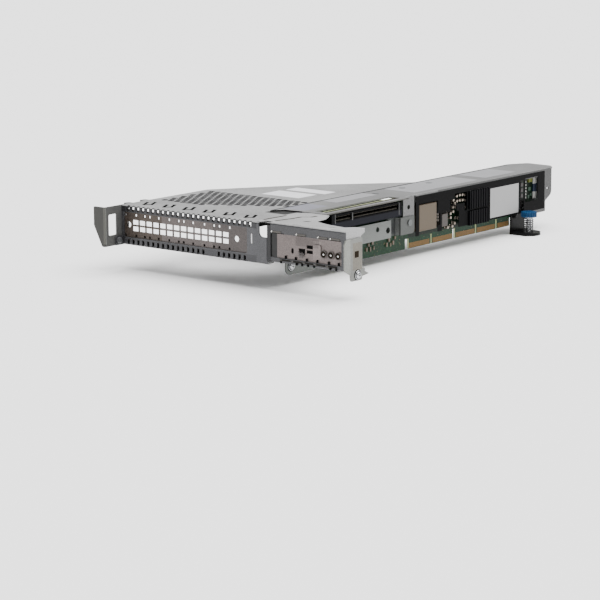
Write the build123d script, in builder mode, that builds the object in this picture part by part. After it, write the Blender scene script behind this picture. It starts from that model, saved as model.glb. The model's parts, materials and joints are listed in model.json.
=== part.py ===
from build123d import *
import os
from math import atan2, degrees

# Riser cage for the rear of a rack server. It holds one full-height and one
# low-profile expansion card flat, on either side of an upright riser board.
# X runs along the rear face, Y into the server and Z up. The origin is under
# the middle of the overall box.

os.makedirs("parts", exist_ok=True)

# Sheet metal
sheet = 1.0
bend = 1.5
inner_bend = bend - sheet

# Cage of the full-height bay
bay_width = 142.5
cage_height = 30.0
plate_edge = bay_width - 11.5
plate_lip = 4.5
return_depth = 7.0
left_depth = 97.0
left_lip = 3.0
foot_flange = 8.0
guide_reach, guide_width, guide_rear = 5.0, 6.0, 25.0
shoulder_x, shoulder_y = 43.0, 159.0
hip_x, hip_y = bay_width - 44.5, 218.0
tail_y = 236.0
bay_opening = (2.2, bay_width - 18.5, 6.0, 25.0)
gap_left, gap_foot, gap_corner = bay_width - 7.1, 19.5, 3.5

# Hexagonal vent in the cage
vent_left, vent_right = 10.0, bay_width - 38.5
vent_front, vent_rear = 37.5, 93.5
vent_corner = 48.0
vent_pitch = 6.2
vent_web = 1.3
vent_slope = 0.6

# Cut-outs along the folds of the rear face
fold_hole_start, fold_hole_pitch = 6.8, 5.0
fold_hole_end = bay_width - 15.6
fold_hole_width, fold_hole_height = 2.4, 4.0
foot_hole_width, foot_hole_height = 2.2, 4.6
foot_gap_left, foot_gap_right = 83.0, 94.0
tongue_pitch, tongue_count = 20.0, 6
tongue_length, tongue_cut, tongue_slit = 12.0, 1.8, 0.8
tongue_left, tongue_right = (10.8, 15.0), (15.6, 18.6)
light_slot_x, light_slot_foot, light_slot_top, light_slot_width = bay_width - 14.2, 13.8, 21.1, 1.0

# Pull handle
ear_depth = 18.4
ear_reach = 11.3
ear_window = (-14.1, -5.6, 8.0, 24.0)
ear_toe = 3.1
ear_slant_top = 15.9
lug_depth, lug_height = 8.0, 7.0

# Rivets and running clearances
rivet_radius = 1.5
rivet_head_radius = 2.5
rivet_head = 0.7
shank_clearance = 0.1
seat_gap = 0.3

# Full-height blank
blank_thickness = 0.8
blank_lap = 2.0
blank_side_gap = 0.3
grille_start, grille_pitch, grille_columns = 10.2, 6.88, 14
grille_hole_width, grille_hole_height = 5.8, 3.6
grille_middle, grille_row_step = 15.15, 4.9
blank_screw_left, blank_screw_right, blank_screw_height = 6.4, bay_opening[1] - 10.8, 15.5
blank_screw_radius = 2.25
knockout = 1.8
knockout_rows = (7.5, 23.0)
knockout_columns = (3.2, 13.8, 22.6, 27.7, 36.6, 47.2, 56.7, 61.7, 70.9, 82.0, 91.4, 96.6, 106.4)

# Low-profile frame
frame_right = bay_width + 71.8
frame_lap_left = bay_width - 9.5
frame_lap_slant = 5.0
frame_foot = 2.5
frame_depth = 50.0
frame_flange = 7.0
frame_window = (bay_width + 3.5, bay_width + 68.2, 6.0, 23.5)
frame_side_depth, frame_side_top = 17.5, 22.0
frame_edge_back, frame_edge_dip, frame_edge_curve = (-7.3, 20.0), (-11.8, 14.5), (-27.3, 17.0)
frame_edge_turn, frame_edge_neck, frame_edge_rise = (-42.3, 22.0), (-47.5, 28.7), (-48.6, 39.0)
frame_edge_rear = -54.3
frame_slits, frame_slit_length = ((-51.0, 19.3, 37), (-20.7, 10.0, 26)), 4.5
frame_lenses, frame_lens_length, frame_slit = ((-45.8, 2.6), (-10.8, 2.6)), 8.0, 1.0
frame_holes = (13.3, 28.5, 33.6, 38.4, 43.6, 58.9)
frame_hole = 2.0
finger_top = (4.0, 26.8, 46.4, 57.5)
finger_bottom = (12.5, 23.1, 33.7, 44.3, 54.9)
finger_length, finger_height, finger_thickness = 9.5, 1.3, 0.3
finger_dome = 1.0

# Low-profile blank
low_blank_left = bay_width + 9.0
low_blank_right = bay_width + 70.0
low_pad = (42.4, 49.4, 11.0, 19.0)
low_oval_x, low_oval_z = 23.1, 12.3
low_vents = ((28.8, 34.8, 10.3, 14.8), (36.1, 41.7, 15.3, 17.8), (36.1, 41.7, 11.8, 14.2))
low_ring_z = 12.9
low_rings = (51.9, 58.4, 64.9)
low_ring_radius, low_ring_hole, low_ring_rise = 2.8, 1.7, 0.7
low_pin_radius = 0.9

# End bracket on the right of the low-profile frame
end_top = 25.2
end_nose = 2.0
end_screw_y, end_screw_z = 12.7, -1.2
end_window_y, end_window_z, end_window = 11.6, 14.0, 3.6

# Screws
screw_radius = 1.5
screw_head_radius = 3.4
screw_head = 2.0
screw_socket = 1.1

# Riser board
board_thickness = 1.6
board_gap = 0.7
board_front = 24.0
board_nose_foot, board_nose_rear = -8.0, 66.0
board_rear = 357.0
board_top = 29.7
board_foot = -11.6
board_tail_foot = -5.0
edge_start, edge_end = 168.9, 305.8
notch_start, notch_top = 164.3, -3.8
key_places = ((198.2, 1.6), (228.4, 3.4), (258.3, 1.6), (286.8, 1.6))
key_top = -4.0

# Gold fingers along the lower edge of the board
pad_pitch, pad_width, pad_height, pad_thickness = 1.0, 0.7, 4.0, 0.1
pad_rise = 0.3
pad_break = 1.0

# Card sockets
socket_gap, socket_length = 10.0, 85.0
socket_foot, socket_top = 18.0, cage_height - sheet - seat_gap
right_socket_reach = 11.2
left_socket_reach = 29.6
card_slot, card_slot_depth, card_slot_z = 1.8, 8.0, 25.7
card_mouth, card_mouth_depth = 4.4, 1.6
socket_end_wall = 4.0
socket_key_gap, socket_key_width = 24.6, 1.6

# Spine over the riser board
spine_left = bay_width - 32.5
spine_gap = 4.8
spine_step = 2.5
spine_horn, spine_horn_width = 11.0, 6.5
spine_left_cut, spine_right_cut, spine_rear_skew = (9.0, 15.0), (6.0, 7.0), 1.0
spine_rear = 368.0
strip_reach = 11.3
strip_end = 155.5
board_slot_reach, board_slot_front, board_slot_rear = 3.2, 8.5, 148.0
tab_rear = 169.5
tab_foot = 6.0
tab_hole_z, tab_hole_radius = 22.0, 1.8
lip_front, lip_foot = 171.3, 25.0
cheek_front, cheek_rear, cheek_foot = 343.0, 360.0, 9.0
cheek_toe_front, cheek_toe_rear, cheek_toe_foot, cheek_toe_top = 325.0, 351.0, -4.8, 4.1
cheek_hole_y, cheek_hole_z = 354.3, 14.0
spine_rivets_y = (156.0, 190.0, 225.0)
spine_rivet_inset = 11.0

# Card rail
rail_front, rail_foot, rail_top = 40.0, 1.4, 15.0
rail_joggle_front, rail_joggle_rear = 137.8, 151.0
rail_rear = 168.6
recess_rivet_z = 6.0
rail_rivet_y, rail_rivet_z = 162.5, 10.0
rail_holes = ((122.2, 9.8, 2.0), (135.1, 7.6, 2.4))

# Board tab
tab_plate_front, tab_plate_rear = 19.3, frame_depth + 2.0
tab_plate_foot = -10.9
tab_plate_step = 2.5
tab_flange = 2.8
tab_screw_low = (25.4, -4.6)
tab_screw_high = (42.0, 20.0)

# Insulating film and what shows through it
film = 0.4
film_foot, film_top = -2.0, 29.0
film_rear = 349.2
window_margin = 0.8
chip = (176.2, 199.2, 0.8, 21.8)
small_chip = (206.0, 214.0, 0.8, 11.0)
part_gap = spine_gap
cable_socket = (241.5, 268.0)
cable_socket_rows = ((-2.6, 9.0), (10.5, 25.0))
cable_socket_reach = 6.4
rib_pitch, rib_depth, rib_width = 3.3, 0.8, 1.2
far_window = (320.9, 339.6, 6.4, 25.7)
switch_box, switch_rise = (338.8, 343.4, 6.8, 25.4), 1.6

# Small parts on the board: rows of (y, z, length, height, rise)
front_parts = (
    (114.5, -6.5, 1.6, 3.0, 1.0), (117.0, -3.0, 1.6, 2.4, 1.0), (119.2, -7.0, 1.2, 3.4, 1.0),
    (121.5, -2.2, 2.0, 2.8, 1.2), (123.8, -6.2, 1.2, 2.4, 0.8), (139.5, -6.2, 1.6, 3.0, 1.0),
    (142.0, -2.6, 1.8, 3.6, 1.2), (144.6, -6.6, 1.2, 2.6, 0.8), (147.4, -5.6, 1.8, 3.0, 1.0),
    (150.0, -1.8, 1.4, 2.4, 1.0), (72.0, -6.0, 3.0, 2.0, 1.0), (84.0, -4.0, 2.0, 3.2, 1.0),
    (96.0, -6.5, 3.4, 2.0, 1.0),
)
film_parts = (
    (202.9, 5.6, 1.2, 1.7, 3.0), (202.9, 8.0, 1.2, 1.7, 3.0), (202.9, 10.4, 1.2, 1.7, 3.0),
    (320.4, 9.6, 3.2, 3.0, 1.2), (320.4, 14.2, 3.2, 3.0, 1.2), (320.4, 18.8, 3.2, 3.0, 1.2),
    (327.4, 8.2, 1.2, 1.4, 1.0), (327.4, 10.8, 1.2, 1.4, 1.0), (327.4, 13.4, 1.2, 1.4, 1.0),
    (327.4, 16.0, 1.2, 1.4, 1.0), (327.4, 18.6, 1.2, 1.4, 1.0), (327.4, 21.2, 1.2, 1.4, 1.0),
    (331.4, 8.0, 1.8, 2.4, 0.8), (335.0, 9.4, 1.6, 2.0, 0.8), (332.0, 14.0, 3.4, 2.8, 0.8),
    (331.8, 21.0, 5.4, 3.8, 1.2),
)
capacitor_radius, capacitor_rise = 1.3, 3.4
capacitor_spots = (
    (223.6, 19.8), (225.5, 17.1), (223.2, 14.2), (226.8, 13.8), (223.3, 10.7), (228.4, 18.5),
    (231.9, 18.6), (235.8, 18.4), (239.5, 17.8), (239.5, 12.4), (230.0, 4.7), (220.0, 6.3),
    (219.9, 9.6), (225.4, 1.3), (216.2, -1.0), (222.4, -0.8), (231.9, 22.8), (228.2, 22.4),
    (235.6, 22.7), (239.3, 22.2),
)
capacitor_windows = (
    (222.5, 238.8, 16.5, 25.0), (216.5, 225.0, 9.5, 21.0), (212.6, 228.0, film_foot, 11.0),
    (235.8, 238.8, 10.0, 25.0), (199.0, 203.0, 3.0, 12.5),
)
strip_window = (313.8, 319.0, 0.0, 25.0)

# Captive thumb screw at the inner end
thumb_reach, thumb_y = 12.0, 316.5
bracket_wall = 1.5
bracket_front, bracket_rear = 306.5, 326.0
bracket_top = 8.0
bracket_foot = -19.0
tongue_thickness = 2.4
tongue_radius = 9.6
ring_pocket_radius, ring_pocket_depth = 4.4, 1.3
thumb_shank = 2.0
thumb_neck = 1.5
thumb_tip = 0.1
running_gap = 0.08
ring_radius, ring_thickness, ring_play = 3.3, 0.6, 0.1
knob_radius, knob_foot, knob_top = 6.5, -4.4, -0.3
knob_grips, knob_grip_radius = 18, 0.7
knob_socket, knob_slot, knob_slot_depth = 3.6, 1.2, 1.4
washer_radius, washer_thickness, washer_gap = 4.6, 0.6, 0.1
spring_wire, spring_coil, spring_turns = 0.42, 3.5, 7.0
bracket_screw_spots = ((311.0, -2.2), (320.0, 3.4))

# Bare labels, with nothing printed on them
label = 0.1
large_label = (bay_width - 93.5, bay_width - 56.5, 105.0, 127.0)
small_label = (bay_width - 92.5, bay_width - 53.5, 133.0, 147.0)
spine_labels = ((2.5, 17.0, 100.0, 150.0), (3.0, 33.0, 176.0, 262.0), (4.0, 31.0, 274.0, 318.0))
board_label = (271.0, 311.0, -0.6, 23.3)

# Places that follow from these sizes
handle_rivet_y = return_depth - rivet_head_radius - shank_clearance
handle_rivet_spots = ((-lug_depth / 2, lug_height / 2), (handle_rivet_y, 9), (handle_rivet_y, 22))
frame_top = cage_height + sheet
frame_left = bay_width + seat_gap
board_face = bay_width + board_gap
spine_right = board_face + spine_gap
strip_right = board_face + strip_reach
spine_front = frame_depth + spine_step
spine_rivet_x = spine_left + spine_rivet_inset
socket_front = frame_depth + socket_gap
socket_rear = socket_front + socket_length
socket_key_y = socket_front + socket_key_gap
thumb_x = board_face + thumb_reach

# The overall box gives the origin
screw_reach = frame_right + sheet + screw_head
left = (ear_reach - screw_reach) / 2
rear = (ear_depth - spine_rear) / 2
base = -bracket_foot


def level(z):
    """Flat plane at height z over the foot of the cage."""
    return Plane((left, rear, base + z))


def upright(x):
    """Plane across the width at x, drawn in depth and height."""
    return Plane(origin=(left + x, rear, base), x_dir=(0, 1, 0), z_dir=(1, 0, 0))


def across(y):
    """Plane parallel to the rear face at depth y, facing out of the server."""
    return Plane(origin=(left, rear + y, base), x_dir=(1, 0, 0), z_dir=(0, -1, 0))


def span(x0, x1, y0, y1, mode=Mode.ADD):
    """Rectangle between two corners, in the sketch that is open."""
    with Locations(((x0 + x1) / 2, (y0 + y1) / 2)):
        Rectangle(x1 - x0, y1 - y0, mode=mode)


# Cage: rear face, top plate, side returns and foot flange, folded from one sheet
vent_points = []
vent_row_step = vent_pitch * 3**0.5 / 2
for row in range(int((vent_rear - vent_front) / vent_row_step) + 1):
    for column in range(int((vent_right - vent_left) / vent_pitch) + 1):
        vent_x = vent_left + vent_pitch * (column + (row % 2) / 2)
        vent_y = vent_front + vent_row_step * row
        if vent_y > vent_front - sheet + max(0, (vent_x - vent_corner) * vent_slope):
            if vent_x < vent_right:
                vent_points.append((vent_x, vent_y))

plate_foot = cage_height - sheet
fold_hole_count = int((fold_hole_end - fold_hole_start) / fold_hole_pitch) + 1
tongue_lean = degrees(atan2(14.0, -5.8))
tongue_step = Vector(*tongue_right) - Vector(*tongue_left)
tongue_front = Vector(tongue_length / 2, 0).rotate(Axis.Z, tongue_lean - 180)
tongue_slit_middle = Vector(*tongue_left) + tongue_step / 2 + tongue_front

with BuildPart() as cage_frame:
    with BuildSketch(upright(0)):
        with BuildLine():
            FilletPolyline(
                (0, 0), (0, cage_height), (tail_y, cage_height), (tail_y, plate_foot),
                (sheet, plate_foot), (sheet, sheet), (foot_flange, sheet), (foot_flange, 0),
                radius=[bend, bend, 0, 0, inner_bend, inner_bend, 0, 0], close=True,
            )
        make_face()
    extrude(amount=bay_width)
    with BuildSketch(level(0)):
        with BuildLine():
            Polyline(
                (0, 0), (bay_width, 0), (bay_width, board_front - seat_gap),
                (plate_edge, board_front - seat_gap), (plate_edge, tail_y), (spine_left + 4, tail_y),
                (hip_x, hip_y), (shoulder_x, shoulder_y), (0, left_depth), close=True,
            )
        make_face()
    extrude(amount=cage_height, mode=Mode.INTERSECT)
    with BuildSketch(upright(0)):
        with BuildLine():
            FilletPolyline(
                (0, lug_height), (0, cage_height), (left_depth, cage_height),
                (left_depth, cage_height - left_lip), (return_depth, cage_height - left_lip),
                (return_depth, 0), (-lug_depth, 0), (-lug_depth, lug_height),
                radius=[inner_bend, bend, 0, left_lip / 2, inner_bend, 1, 1, 1], close=True,
            )
        make_face()
        with Locations(*handle_rivet_spots):
            Circle(rivet_radius, mode=Mode.SUBTRACT)
    extrude(amount=sheet)
    with BuildSketch(across(0)):
        span(*bay_opening)
        fillet(vertices(), 1.5)
        span(light_slot_x - light_slot_width / 2, light_slot_x + light_slot_width / 2,
             light_slot_foot, light_slot_top)
    extrude(amount=-sheet, mode=Mode.SUBTRACT)
    with BuildSketch(across(0)):
        with BuildLine():
            corner = RadiusArc(
                (gap_left - gap_corner, cage_height), (gap_left, cage_height - gap_corner), gap_corner
            )
            FilletPolyline(
                corner @ 1, (gap_left, gap_foot), (bay_width, gap_foot), (bay_width, cage_height),
                corner @ 0, radius=[gap_corner, 0, 0],
            )
        make_face()
        with Locations(*[
            (fold_hole_start + fold_hole_pitch * hole, cage_height - fold_hole_height / 2)
            for hole in range(fold_hole_count)
        ]):
            Rectangle(fold_hole_width, fold_hole_height)
        with Locations(*[
            (fold_hole_start + fold_hole_pitch * hole, foot_hole_height / 2)
            for hole in range(fold_hole_count - 1)
            if not foot_gap_left < fold_hole_start + fold_hole_pitch * hole < foot_gap_right
        ]):
            Rectangle(foot_hole_width, foot_hole_height)
    extrude(amount=-bend, mode=Mode.SUBTRACT)
    with BuildSketch(level(cage_height)):
        with Locations(*vent_points):
            RegularPolygon((vent_pitch - vent_web) / 2, 6, major_radius=False, rotation=30)
        for hook in range(tongue_count):
            for side_x, side_y in (tongue_left, tongue_right):
                with Locations((side_x + tongue_pitch * hook, side_y)):
                    SlotOverall(tongue_length, tongue_cut, rotation=tongue_lean)
            with Locations((tongue_slit_middle.X + tongue_pitch * hook, tongue_slit_middle.Y)):
                SlotOverall(tongue_step.length, tongue_slit,
                            rotation=degrees(atan2(tongue_step.Y, tongue_step.X)))
        with Locations(*[(spine_rivet_x, y) for y in spine_rivets_y]):
            Circle(rivet_radius)
    extrude(amount=-sheet, mode=Mode.SUBTRACT)
    with BuildSketch(level(plate_foot)):
        span(-guide_reach, 0, return_depth + seat_gap, return_depth + guide_width)
        span(-guide_reach, 0, guide_rear, guide_rear + guide_width)
        fillet(vertices().group_by(Axis.X)[0], 1)
    extrude(amount=sheet)
    with BuildSketch(upright(plate_edge - sheet)):
        span(bend, board_front - seat_gap, cage_height - plate_lip, plate_foot)
    extrude(amount=sheet)
cage_frame.part.label = "cage_frame"

# Pull handle on the left of the cage: a cheek with a finger window and a flange
with BuildPart() as pull_handle:
    with BuildSketch(level(0)):
        with BuildLine():
            FilletPolyline(
                (0, return_depth), (0, -ear_depth), (-ear_reach, -ear_depth),
                (-ear_reach, sheet - ear_depth), (-sheet, sheet - ear_depth), (-sheet, return_depth),
                radius=[0, bend, 0, 0, inner_bend, 0], close=True,
            )
        make_face()
    extrude(amount=cage_height)
    with BuildSketch(across(-ear_depth)):
        with BuildLine():
            FilletPolyline(
                (0, 0), (0, cage_height), (-ear_reach, cage_height), (-ear_reach, ear_slant_top),
                (-ear_toe, 0), radius=[0, 0, 1, 1.5, 2], close=True,
            )
        make_face()
    extrude(amount=-(ear_depth + return_depth), mode=Mode.INTERSECT)
    with BuildSketch(upright(0)):
        span(*ear_window)
        fillet(vertices(), 1.2)
        with Locations(*handle_rivet_spots):
            Circle(rivet_radius)
    extrude(amount=-sheet, mode=Mode.SUBTRACT)
pull_handle.part.label = "pull_handle"

# Rivets that hold the handle to the cage
with BuildPart() as handle_rivets:
    for x0, depth, radius in (
        (-sheet - rivet_head, rivet_head, rivet_head_radius),
        (-sheet, 2 * sheet, rivet_radius - shank_clearance),
        (sheet, rivet_head, rivet_head_radius),
    ):
        with BuildSketch(upright(x0)):
            with Locations(*handle_rivet_spots):
                Circle(radius)
        extrude(amount=depth)
handle_rivets.part.label = "handle_rivets"

# Blank for the full-height bay, with its grille
blank_left, blank_right, blank_foot, blank_top = (
    sheet + blank_side_gap, bay_opening[1] + blank_lap,
    bay_opening[2] - blank_lap, bay_opening[3] + blank_lap,
)
with BuildPart() as full_height_blank:
    with BuildSketch(across(sheet)):
        span(blank_left, blank_right, blank_foot, blank_top)
        with Locations((grille_start + grille_hole_width / 2 + grille_pitch * (grille_columns - 1) / 2,
                        grille_middle)):
            with GridLocations(grille_pitch, grille_row_step, grille_columns, 2):
                Rectangle(grille_hole_width, grille_hole_height, mode=Mode.SUBTRACT)
        with Locations((blank_screw_left, blank_screw_height),
                       (blank_screw_right, blank_screw_height)):
            Circle(blank_screw_radius, mode=Mode.SUBTRACT)
        with Locations(*[(x, z) for x in knockout_columns for z in knockout_rows]):
            Rectangle(knockout, knockout, mode=Mode.SUBTRACT)
    extrude(amount=-blank_thickness)
full_height_blank.part.label = "full_height_blank"

# Low-profile frame: lies on the cage at its left end and hangs beside it
with BuildPart() as low_profile_frame:
    with BuildSketch(upright(frame_left)):
        with BuildLine():
            FilletPolyline(
                (0, frame_foot), (0, frame_top), (frame_depth, frame_top), (frame_depth, cage_height),
                (sheet, cage_height), (sheet, frame_foot + sheet), (frame_flange, frame_foot + sheet),
                (frame_flange, frame_foot),
                radius=[bend, bend, 0, 0, inner_bend, inner_bend, 0, 0], close=True,
            )
        make_face()
    extrude(amount=frame_right - frame_left)
    with BuildSketch(level(0)):
        with BuildLine():
            Polyline(
                (frame_left, 0), (frame_right, 0), (frame_right, frame_side_top),
                *[(frame_right + x, y) for x, y in (
                    frame_edge_back, frame_edge_dip, frame_edge_curve, frame_edge_turn,
                    frame_edge_neck, frame_edge_rise, (frame_edge_rear, frame_depth),
                )],
                (frame_left, frame_depth), close=True,
            )
        make_face()
    extrude(amount=frame_top, mode=Mode.INTERSECT)
    with BuildSketch(level(cage_height)):
        with BuildLine():
            Polyline(
                (frame_lap_left, bend), (frame_left, bend), (frame_left, frame_depth),
                (frame_lap_left, frame_depth - frame_lap_slant), close=True,
            )
        make_face()
    extrude(amount=sheet)
    with BuildSketch(upright(frame_right - sheet)):
        with BuildLine():
            FilletPolyline(
                (0, frame_foot), (0, frame_top), (frame_side_top, frame_top),
                (frame_side_top, frame_top - 3), (frame_side_depth, frame_top - 5),
                (frame_side_depth, frame_foot),
                radius=[bend, bend, 0, 1, 1, 1], close=True,
            )
        make_face()
    extrude(amount=sheet)
    with BuildSketch(across(0)):
        span(*frame_window)
        fillet(vertices(), 1)
        with Locations(*[(bay_width + x, (frame_foot + frame_window[2]) / 2) for x in frame_holes]):
            Rectangle(frame_hole, frame_hole)
    extrude(amount=-sheet, mode=Mode.SUBTRACT)
    with BuildSketch(level(frame_foot)):
        span(frame_left, board_face + sheet + tab_flange, sheet, frame_flange)
    extrude(amount=sheet + inner_bend, mode=Mode.SUBTRACT)
    with BuildSketch(level(frame_top)):
        for slit_x, slit_y, slit_lean in frame_slits:
            with Locations((frame_right + slit_x, slit_y)):
                SlotOverall(frame_slit_length, frame_slit, rotation=slit_lean)
        with Locations(*[(frame_right + x, y) for x, y in frame_lenses]):
            SlotOverall(frame_lens_length, frame_slit)
    extrude(amount=-sheet, mode=Mode.SUBTRACT)
low_profile_frame.part.label = "low_profile_frame"

# Sprung contact fingers clipped round the low-profile window
finger_low = frame_window[2] - finger_height - 0.5
finger_high = frame_window[3] + 0.5
fingers_high = [bay_width + x for x in finger_top]
fingers_low = [bay_width + x for x in finger_bottom]
with BuildPart() as contact_fingers:
    with BuildSketch(across(0)):
        for x in fingers_high:
            span(x, x + finger_length, finger_high, finger_high + finger_height)
        for x in fingers_low:
            span(x, x + finger_length, finger_low, finger_low + finger_height)
    extrude(amount=finger_thickness)
    with BuildSketch(across(-finger_thickness)):
        with Locations(*[(x + finger_dome, finger_high + finger_height / 2) for x in fingers_high],
                       *[(x + finger_dome, finger_low + finger_height / 2) for x in fingers_low]):
            Circle(finger_height / 2)
    extrude(amount=finger_thickness, taper=30)
contact_fingers.part.label = "contact_fingers"

# Blank for the low-profile bay, with its pad, vents and three pinned rings
low_blank_foot, low_blank_top = frame_window[2] - blank_lap / 2, frame_window[3] + blank_lap
with BuildPart() as low_profile_blank:
    with BuildSketch(across(sheet)):
        span(low_blank_left, low_blank_right, low_blank_foot, low_blank_top)
        with Locations((bay_width + low_oval_x, low_oval_z)):
            SlotOverall(4, 2.3, rotation=90, mode=Mode.SUBTRACT)
        for x0, x1, z0, z1 in low_vents:
            span(bay_width + x0, bay_width + x1, z0, z1, mode=Mode.SUBTRACT)
    extrude(amount=-blank_thickness)
    with BuildSketch(across(sheet)):
        span(bay_width + low_pad[0], bay_width + low_pad[1], low_pad[2], low_pad[3])
        fillet(vertices(), 1)
        with Locations(*[(bay_width + x, low_ring_z) for x in low_rings]):
            Circle(low_ring_radius)
    extrude(amount=low_ring_rise)
    with BuildSketch(across(sheet - low_ring_rise)):
        with Locations(*[(bay_width + x, low_ring_z) for x in low_rings]):
            Circle(low_ring_hole)
            Circle(low_pin_radius, mode=Mode.SUBTRACT)
    extrude(amount=-low_ring_rise, mode=Mode.SUBTRACT)
low_profile_blank.part.label = "low_profile_blank"

# End bracket: plated plate with a screw lug and a guide spike
end_outline = (
    (-end_nose, 3.1), (-end_nose, end_top), (17.9, end_top), (17.9, 2.8), (20.9, 2.8), (20.9, 0.5),
    (25.9, -1.7), (17.8, -2.7), (17.6, -5.1), (5.3, -5.1), (4.4, -0.4),
)
with BuildPart() as end_bracket:
    with BuildSketch(upright(frame_right)):
        with BuildLine():
            FilletPolyline(*end_outline, radius=[1, 3.5, 1.5, 0, 0.5, 0, 0.3, 0, 1.2, 1.2, 1], close=True)
        make_face()
        with Locations((end_window_y, end_window_z)):
            RectangleRounded(end_window, end_window, 0.5, mode=Mode.SUBTRACT)
        with Locations((end_screw_y, end_screw_z)):
            Circle(screw_radius + shank_clearance, mode=Mode.SUBTRACT)
    extrude(amount=sheet)
end_bracket.part.label = "end_bracket"


def screw_profile(shank):
    """Half section of a pan head screw, head up, with its seat at height zero."""
    return (
        (0, -shank), (screw_radius, -shank), (screw_radius, 0), (screw_head_radius, 0),
        (screw_head_radius, screw_head * 0.4), (screw_head_radius * 0.7, screw_head),
        (screw_socket, screw_head), (screw_socket, screw_head * 0.3), (0, screw_head * 0.3),
    )


def screw_plane(x, y, z):
    """Half-section plane of a screw whose head faces +X, seated at x."""
    return Plane(origin=(left + x, rear + y, base + z), x_dir=(0, 1, 0), z_dir=(0, 0, -1))


with BuildPart() as end_bracket_screw:
    with BuildSketch(screw_plane(frame_right + sheet, end_screw_y, end_screw_z)) as end_screw_half:
        with BuildLine():
            Polyline(*screw_profile(6), close=True)
        make_face()
    revolve(axis=Axis((left, rear + end_screw_y, base + end_screw_z), (1, 0, 0)))
end_bracket_screw.part.label = "end_bracket_screw"

# Riser board, upright along the whole cage
board_back = board_face - board_thickness
recess_rivet_y = (rail_joggle_front + rail_joggle_rear + sheet) / 2
with BuildPart() as riser_board:
    with BuildSketch(upright(board_back)):
        with BuildLine():
            Polyline(
                (board_front, board_nose_foot), (board_nose_rear, board_nose_foot),
                (board_nose_rear, board_foot), (notch_start, board_foot), (notch_start, notch_top),
                (edge_start, notch_top), (edge_start, board_foot), (edge_end, board_foot),
                (edge_end, board_tail_foot), (board_rear, board_tail_foot), (board_rear, board_top),
                (board_front, board_top), close=True,
            )
        make_face()
        for key_y, key_width in key_places:
            span(key_y - key_width / 2, key_y + key_width / 2, board_foot, key_top, mode=Mode.SUBTRACT)
        with Locations(tab_screw_low, tab_screw_high, (recess_rivet_y, recess_rivet_z),
                       *bracket_screw_spots):
            Circle(screw_radius + shank_clearance, mode=Mode.SUBTRACT)
    extrude(amount=board_thickness)
riser_board.part.label = "riser_board"

# Gold fingers on both faces of the lower edge
pad_places = []
for pad in range(int((edge_end - edge_start) / pad_pitch)):
    pad_y = edge_start + pad_pitch * (pad + 0.5)
    if all(abs(pad_y - key_y) > key_width / 2 + pad_break for key_y, key_width in key_places):
        pad_places.append((pad_y, board_foot + pad_rise + pad_height / 2))
with BuildPart() as edge_contacts:
    for x in (board_face, board_back - pad_thickness):
        with BuildSketch(upright(x)):
            with Locations(*pad_places):
                Rectangle(pad_width, pad_height)
        extrude(amount=pad_thickness)
edge_contacts.part.label = "edge_contacts"

# Card sockets, mouth outwards, on either side of the board
socket_places = (("right_slot_connector", board_face, board_face + right_socket_reach),
                 ("left_slot_connector", board_back - left_socket_reach, board_back))
for socket_name, x0, x1 in socket_places:
    slot_start = x1 - card_slot_depth if x0 == board_face else x0
    mouth_start = x1 - card_mouth_depth if x0 == board_face else x0
    with BuildPart() as socket:
        with BuildSketch(upright(x0)):
            span(socket_front, socket_rear, socket_foot, socket_top)
            fillet(vertices(), 0.8)
        extrude(amount=x1 - x0)
        for start, depth, height in ((slot_start, card_slot_depth, card_slot),
                                     (mouth_start, card_mouth_depth, card_mouth)):
            with BuildSketch(upright(start)):
                span(socket_front + socket_end_wall, socket_key_y - socket_key_width / 2,
                     card_slot_z - height / 2, card_slot_z + height / 2)
                span(socket_key_y + socket_key_width / 2, socket_rear - socket_end_wall,
                     card_slot_z - height / 2, card_slot_z + height / 2)
            extrude(amount=depth, mode=Mode.SUBTRACT)
    socket.part.label = socket_name
    export_step(socket.part, f"parts/{socket_name}.step")

# Tab that carries the front of the board, behind the low-profile frame
with BuildPart() as board_tab:
    with BuildSketch(upright(board_face)):
        with BuildLine():
            FilletPolyline(
                (sheet, tab_plate_step), (sheet, cage_height), (tab_plate_rear, cage_height),
                (tab_plate_rear, tab_plate_foot), (tab_plate_front, tab_plate_foot),
                (tab_plate_front, tab_plate_step),
                radius=[1, 1, 0, 2, 5, 1], close=True,
            )
        make_face()
        with Locations(tab_screw_low, tab_screw_high):
            Circle(screw_radius + shank_clearance, mode=Mode.SUBTRACT)
    extrude(amount=sheet)
    with BuildSketch(across(sheet)):
        span(board_face, board_face + sheet + tab_flange - seat_gap, frame_foot + 2 * sheet, frame_top - 3)
    extrude(amount=-sheet)
board_tab.part.label = "board_tab"

with BuildPart() as board_tab_screws:
    for spot_y, spot_z in (tab_screw_low, tab_screw_high):
        with BuildSketch(screw_plane(board_face + sheet, spot_y, spot_z)):
            with BuildLine():
                Polyline(*screw_profile(sheet + board_thickness), close=True)
            make_face()
        revolve(axis=Axis((left, rear + spot_y, base + spot_z), (1, 0, 0)))
board_tab_screws.part.label = "board_tab_screws"

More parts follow.
